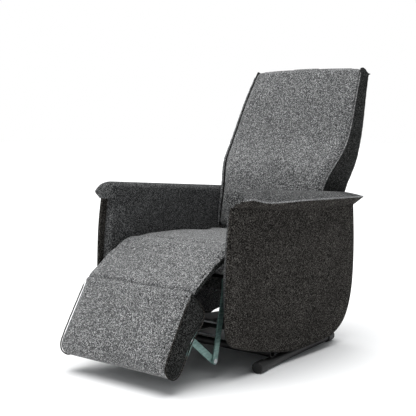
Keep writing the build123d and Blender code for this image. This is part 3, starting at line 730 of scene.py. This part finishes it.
def back_stack(low_share, high_share, trim, bulge, corner, material, name):
    """Rings up the back, each between two shares of the depth.

    A ring is a rounded box, |u|^corner + |v|^corner = 1, whose front bellies out by bulge*(1-u^2)."""
    u, v = squared_circle(np.linspace(0, 2 * np.pi, 120, endpoint=False), corner, corner)
    ends = np.array([0.0, 0.35, 0.75, 1.0])
    inset_low = 0.012 * (1 - np.sin(ends * np.pi / 2))
    z = np.concatenate([back_z[0] + 0.012 * (1 - np.cos(ends * np.pi / 2)), back_z[3:-3],
                        back_z[-1] - 0.012 * (1 - np.cos(ends[::-1] * np.pi / 2))])
    inset = np.concatenate([inset_low, np.zeros(len(back_z) - 6), inset_low[::-1]])
    front = np.interp(z, back_z, back_front_y)
    depth = np.interp(z, back_z, back_rear_y) - front
    half = np.interp(z, back_z, back_half) - trim - inset
    near = front + low_share * depth + inset * 0.6
    far = front + high_share * depth - inset * 0.6
    x = half[:, None] * u
    y = ((near + far) / 2)[:, None] + ((far - near) / 2)[:, None] * v
    y = y - bulge * np.clip(1 - u**2, 0, 1) * np.clip(-v, 0, 1)
    rings = np.stack([x, y, np.broadcast_to(z[:, None], x.shape)], -1)
    return make_piece(name, lean_top(rings), material)


# %% Back: front pad, rear cover and side boxings
back_pad = back_stack(0.0, 0.5, 0.006, 0.010, 9, tweed_front, "back_front_pad")
swell(back_pad, cap=5 * MM)
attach(back_pad, "back")
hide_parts("back_cushion")

# The rear cover is drawn in the darker side copy of the cloth, as painted shade.
back_cover = back_stack(0.46, 0.985, 0.0085, -0.004, 9, side_tweed_painted_shade, "back_rear_cover")
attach(back_cover, "back")
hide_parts("back_rear_panel")


def boxing(name, sign):
    """A side strip of the back in rings up its height: BOXING thick, its outer face a little full."""
    u, v = squared_circle(np.linspace(0, 2 * np.pi, 48, endpoint=False), 5, 9)
    z, half = back_z, back_half
    depth = back_rear_y - back_front_y
    near, far = back_front_y + 0.03 * depth, back_front_y + 0.99 * depth
    x = sign * (half - BOXING / 2)[:, None] + BOXING / 2 * u
    puff = sign * 0.003 * np.clip(1 - v**2, 0, 1) * (sign * u > 0)
    y = ((near + far) / 2)[:, None] + ((far - near) / 2)[:, None] * v
    rings = np.stack([x + puff, y, np.broadcast_to(z[:, None], x.shape)], -1)
    # The strip is drawn in the darkest cloth copy, as painted shade.
    made = make_piece(name, lean_top(rings), boxing_tweed_painted_deep_shade)
    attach(made, "back")
    return made


for side, sign in (("left", 1), ("right", -1)):
    strip = boxing(f"back_boxing_{side}", sign)
    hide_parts(f"back_side_panel_{side}")
print("back made")

# %% Back: seam lips and corner ears
# The front and rear lips use the lighter piping copy as a painted highlight, the top lips the darkest copy
# as painted shade.
for side, sign in (("left", 1), ("right", -1)):
    x = sign * (back_half - 0.003)
    front_edge = np.column_stack([x, back_front_y + 0.003, back_z])
    lip(f"back_front_lip_{side}", lean_top(front_edge)[::4], 2.2 * MM, 4.2 * MM,
        (sign * 0.7, -0.7, 0), piping_cloth_painted_highlight, "back")
    rear_edge = np.column_stack([x, back_rear_y - 0.003, back_z])
    lip(f"back_rear_lip_{side}", lean_top(rear_edge)[::4], 2.2 * MM, 3.6 * MM,
        (sign * 0.7, 0.7, 0), piping_cloth_painted_highlight, "back")
    top_front = lean_top(np.array([[sign * 0.259, 0.561, 1.086]]))[0]
    top_rear = lean_top(np.array([[sign * 0.260, 0.620, 1.086]]))[0]
    ear_tip = top_rear + np.array([sign * 0.004, 0.009, 0.001])
    top_path = np.array([top_front, (top_front * 0.5 + top_rear * 0.5) + (0, 0, 0.003), top_rear, ear_tip])
    lip(f"back_top_lip_{side}", top_path, 3.0 * MM, 5.0 * MM,
        (sign * 0.5, 0, 0.8), boxing_tweed_painted_deep_shade, "back")

# %% [markdown]
# An arm is a slab: an inner side that wraps round the front as a narrow strip, an outer panel
# set on with a groove between, and a pad on top that runs out into a thin wing.

# %% Arm outlines
outer_side = np.array([
    (-0.3500, 0.590), (-0.3630, 0.510), (-0.3720, 0.388), (-0.3780, 0.270), (-0.3810, 0.190),
    (-0.3750, 0.158), (-0.3600, 0.134), (-0.3200, 0.113), (-0.2040, 0.080), (-0.0890, 0.054),
    (0.0250, 0.038), (0.1640, 0.038),
    (0.2830, 0.050), (0.3640, 0.092), (0.4040, 0.151), (0.4240, 0.214), (0.4350, 0.311), (0.4360, 0.422),
    (0.4270, 0.548),
])
inner_side = np.array([
    (-0.3260, 0.590), (-0.3370, 0.510), (-0.3460, 0.440), (-0.3530, 0.330), (-0.3570, 0.230),
    (-0.3530, 0.176), (-0.3340, 0.149), (-0.2900, 0.130), (-0.2000, 0.106), (-0.0800, 0.088),
    (0.0250, 0.083), (0.1200, 0.0805), (0.1700, 0.0770), (0.2500, 0.071), (0.3200, 0.086),
    (0.3720, 0.140), (0.4020, 0.265), (0.4080, 0.370), (0.4070, 0.460), (0.4040, 0.550),
])
print("arm outlines of", len(outer_side), "and", len(inner_side), "points")


# %% Arm slabs
def slab(name, side_points, x_low, x_high, round_low, round_high, puff, sign, material,
         top_drop=0.0, corner=0.0):
    """A side outline carried across X, its edges rounded by quarter circles, its outer face full.

    Face rings shrink towards the middle: ring = centre + (outline - centre) * share and
    x = face + puff * (1 - share^2). Over the last 45 mm before the front edge the low face turns
    away by corner * (1 - sqrt(1 - near^2)), where near goes from 0 to 1."""
    side = curve(side_points, 150)
    top_points = np.array([side_points[-1], (0.106, 0.556), (-0.216, 0.580), side_points[0]])
    top = evenly(top_points + (0, top_drop), 60)
    outline = np.concatenate([side[:-1], top[:-1]])
    normal = outward(outline)
    centre = outline.mean(0)
    quarter = np.linspace(0, np.pi / 2, 6)
    low = [(x_low + round_low * (1 - np.cos(a)), round_low * (1 - np.sin(a)), 1.0) for a in quarter]
    high = [
        (x_high - round_high * (1 - np.cos(a)), round_high * (1 - np.sin(a)), 1.0) for a in quarter[::-1]
    ]
    shares = (0.97, 0.9, 0.8, 0.65, 0.5, 0.35, 0.2, 0.08)
    faces = [(x_high + puff * (1 - s**2), round_high, s) for s in shares]
    backs = [(x_low, round_low, s) for s in (0.05, 0.4, 0.8)]
    rings = []
    for x, inset, share in backs + low + high + faces:
        flat = centre + (outline - inset * normal - centre) * share
        front_y = np.interp(
            flat[:, 1], [0.14, 0.17, 0.33, 0.44, 0.60], [-0.330, -0.350, -0.355, -0.346, -0.326]
        )
        near = np.clip(1 - (flat[:, 0] - front_y) / 0.045, 0, 0.98)
        pushed = np.minimum(x + corner * (1 - np.sqrt(1 - near**2)), x_high)
        rings.append(np.column_stack([sign * np.maximum(x, pushed), flat]))
    return make_piece(name, np.array(rings), material)


# The outer panel and the inner side are drawn in darker copies of the cloth, as painted shade.
for side, sign in (("left", 1), ("right", -1)):
    panel = slab(
        f"arm_outer_cover_{side}", outer_side, 0.2970, 0.3125, 0.004, 0.008, 0.0035, sign, side_tweed_painted_shade
    )
    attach(panel, "seat_unit")
    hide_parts(f"arm_outer_panel_{side}")
    inner = slab(
        f"arm_inner_cover_{side}", inner_side, 0.2540, 0.2962, 0.010, 0.006, 0.0, sign, arm_tweed_painted_shade,
        0.012, 0.032,
    )
    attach(inner, "seat_unit")
    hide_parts(f"arm_cover_{side}")
print("arm slabs made")


# %% [markdown]
# The arm pad is one cushion from the inner face over the crown to a thin wing that stands out
# beyond the outer panel. The crown rounds over at the front and slopes down to the rear, where
# the wing runs out into a point. The wing's edge is a stitched lip, pulled sharp at the front.

# %% Arm pads
PANEL_X = 0.3125  # outer panel's outer face


def arm_pad(name, sign):
    """Rings along Y. In each: up the inner face, over the crown, down to the wing's edge and back under.

    Crown height is 0.625 - 0.075*y, less a curve of 26 mm at the front and 11 mm at the rear."""
    nose = -0.354 + 0.034 * (1 - np.cos(np.linspace(0, np.pi / 2, 9)))
    y = np.concatenate([nose, np.linspace(-0.316, 0.38, 64), np.linspace(0.392, 0.484, 12)])
    front = np.clip((-0.318 - y) / 0.036, 0, 1)
    crown = 0.625 - 0.075 * y - 0.026 * (1 - np.sqrt(1 - np.clip(front, 0, 0.999) ** 2))
    corner = np.clip((-0.306 - y) / 0.048, 0, 0.999)
    rear = np.clip((y - 0.39) / 0.094, 0, 1)
    crown = crown - 0.011 * rear**1.4
    edge_z = spline([-0.36, -0.335, -0.232, -0.174, -0.021, 0.179, 0.413, 0.49],
                    [0.606, 0.6135, 0.602, 0.5965, 0.593, 0.587, 0.579, 0.574], y)
    edge_x = np.interp(y, [-0.354, -0.350, -0.340, -0.325, 0.39, 0.484],
                       [0.326, 0.339, 0.350, 0.3525, 0.3525, 0.322])
    under = np.interp(y, [-0.354, -0.300, -0.216, -0.086, 0.106, 0.319, 0.43, 0.484],
                      [0.588, 0.584, 0.574, 0.561, 0.549, 0.544, 0.546, 0.564])
    inner_x = 0.2536 + 0.020 * rear**2 + 0.032 * (1 - np.sqrt(1 - corner**2))
    turn = np.linspace(0, np.pi / 2, 10)
    over = np.linspace(0, 1, 26)[1:]
    hollow = np.linspace(0, 1, 12)[1:-1]
    bend = np.minimum(0.026, 0.4 * (edge_x - inner_x))
    up = np.linspace(0, 1, 6)[:-1]
    x_up = np.broadcast_to(inner_x[:, None], (len(y), len(up)))
    z_up = under[:, None] + (crown - bend - under)[:, None] * up
    x_turn = inner_x[:, None] + bend[:, None] * (1 - np.cos(turn))
    z_turn = (crown - bend)[:, None] + bend[:, None] * np.sin(turn)
    start_x = inner_x + bend
    x_over = start_x[:, None] + (edge_x - start_x)[:, None] * over
    fall = over**2.1
    z_over = crown[:, None] + (edge_z - crown)[:, None] * fall
    x_under = edge_x[:, None] + (PANEL_X - edge_x)[:, None] * hollow
    z_under = (edge_z - 0.003)[:, None] + (under - edge_z + 0.003)[:, None] * hollow**0.8
    x_close = PANEL_X + (inner_x - PANEL_X)[:, None] * np.array([0.0, 0.4, 0.75])
    z_close = under[:, None] * np.ones((1, 3))
    ring_x = np.concatenate([x_up, x_turn, x_over, x_under, x_close], 1)
    ring_z = np.concatenate([z_up, z_turn, z_over, z_under, z_close], 1)
    ring_y = np.broadcast_to(y[:, None], ring_x.shape)
    rings = np.stack([sign * ring_x, ring_y, ring_z], -1)
    # The pad takes the arms' darker cloth copy, as painted shade, and its faces turned down take the side
    # copy, as painted shade under the wing.
    made = make_piece(name, rings, arm_tweed_painted_shade, smooth=60)
    made.data.materials.append(side_tweed_painted_shade)
    below = (facings(made.data.polygons, "normal")[:, 2] < -0.2).astype(np.int32)
    made.data.polygons.foreach_set("material_index", below)
    edge = np.column_stack([sign * (edge_x + 0.0005), y, edge_z - 0.001])
    return made, edge


for side, sign in (("left", 1), ("right", -1)):
    pad, edge = arm_pad(f"arm_pad_cover_{side}", sign)
    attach(pad, "seat_unit")
    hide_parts(f"arm_pad_{side}")
    # The wing lip takes the lighter piping copy, as a painted highlight.
    lip(f"arm_wing_lip_{side}", edge[4:][::4], 4.2 * MM, 2.6 * MM, (0, 0, 1), piping_cloth_painted_highlight, "seat_unit")
print("arm pads made")

# %% [markdown]
# The lower rear of the chair is closed by a thin padded panel between the arms.

# %% Rear lower panel
low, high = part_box("rear_lower_panel")
lower_z = np.linspace(low.z + 0.004, high.z - 0.001, 30)
box_u, box_v = squared_circle(np.linspace(0, 2 * np.pi, 80, endpoint=False), 14, 4)
end_inset = 0.004 * np.clip(1 - np.minimum(lower_z - lower_z[0], lower_z[-1] - lower_z) / 0.01, 0, 1) ** 2
lower_x = (high.x - end_inset)[:, None] * box_u
lower_y = (low.y + high.y) / 2 + ((high.y - low.y) / 2 - end_inset)[:, None] * box_v
lower_rings = np.stack([lower_x, lower_y, np.broadcast_to(lower_z[:, None], lower_x.shape)], -1)
# The panel is drawn in the darker side copy of the cloth, as painted shade.
rear_panel = make_piece("rear_lower_cover", lower_rings, side_tweed_painted_shade)
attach(rear_panel, "seat_unit")
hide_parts("rear_lower_panel")
print("rear panel made")

# %% [markdown]
# The floor is a large pale sheet, so the chair's shadow is all that shows of it.

# %% Floor
floor_mesh = bpy.data.meshes.new("floor")
floor_mesh.from_pydata([(-30, -30, 0), (30, -30, 0), (30, 30, 0), (-30, 30, 0)], [], [(0, 1, 2, 3)])
floor = bpy.data.objects.new("floor", floor_mesh)
scene.collection.objects.link(floor)
floor_paper, floor_tree, floor_shader, floor_coords = new_material(
    "white_studio_paper", **{"Roughness": 0.9, "Specular IOR Level": 0.1}
)
paper = node(floor_tree, "ShaderNodeTexNoise", {"Scale": 2.0}, {"Vector": floor_coords})
paper_colour = ramp(floor_tree, paper.outputs["Fac"], [(0.2, "#f4f4f4"), (0.8, "#fafafa")])
floor_tree.links.new(paper_colour.outputs["Color"], floor_shader.inputs["Base Color"])
floor_mesh.materials.append(floor_paper)
print("floor made")
